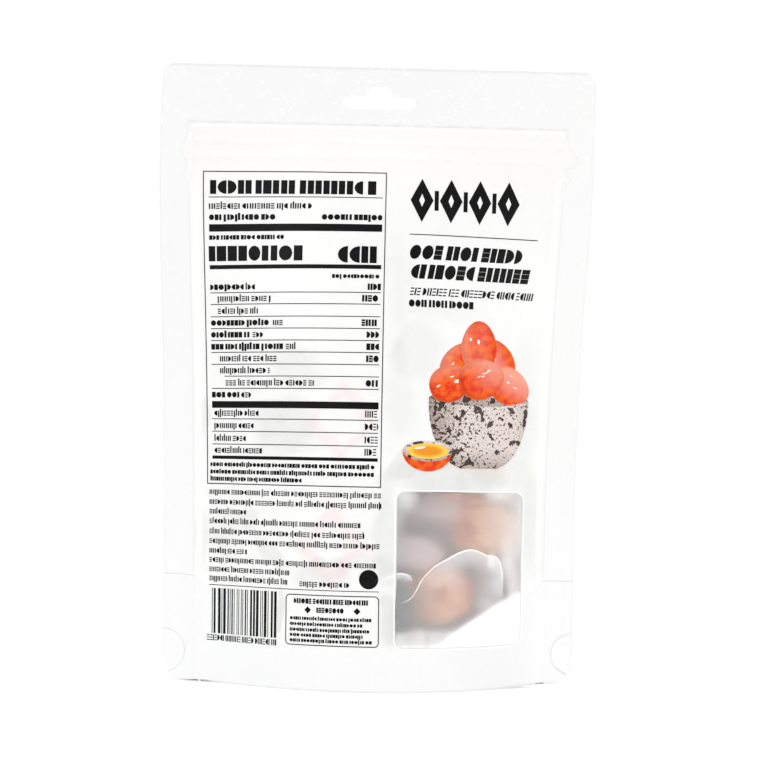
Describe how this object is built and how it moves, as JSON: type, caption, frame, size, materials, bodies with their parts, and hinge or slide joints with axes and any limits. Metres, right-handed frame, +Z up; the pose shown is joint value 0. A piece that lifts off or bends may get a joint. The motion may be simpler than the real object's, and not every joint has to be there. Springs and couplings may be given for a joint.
{
  "type": "stand-up food pouch with window",
  "caption": "Filled stand-up pouch in white film with a flat header, hang slot, press zipper, side seals, opened gusset foot and a frosted window low on the front.",
  "frame": {"origin": "on the ground under the middle of the foot", "axes": "+Z up the pouch, +X across it to the right as its front is seen, -Y out of its front"},
  "size_m": [0.1703, 0.0546, 0.24],
  "materials": {
    "white_film": "satin white film with a faint cool tone in its seals",
    "frosted_film": "milky see-through film"
  },
  "bodies": {
    "root": {"pouch": "white_film", "window": "frosted_film"}
  },
  "joints": []
}
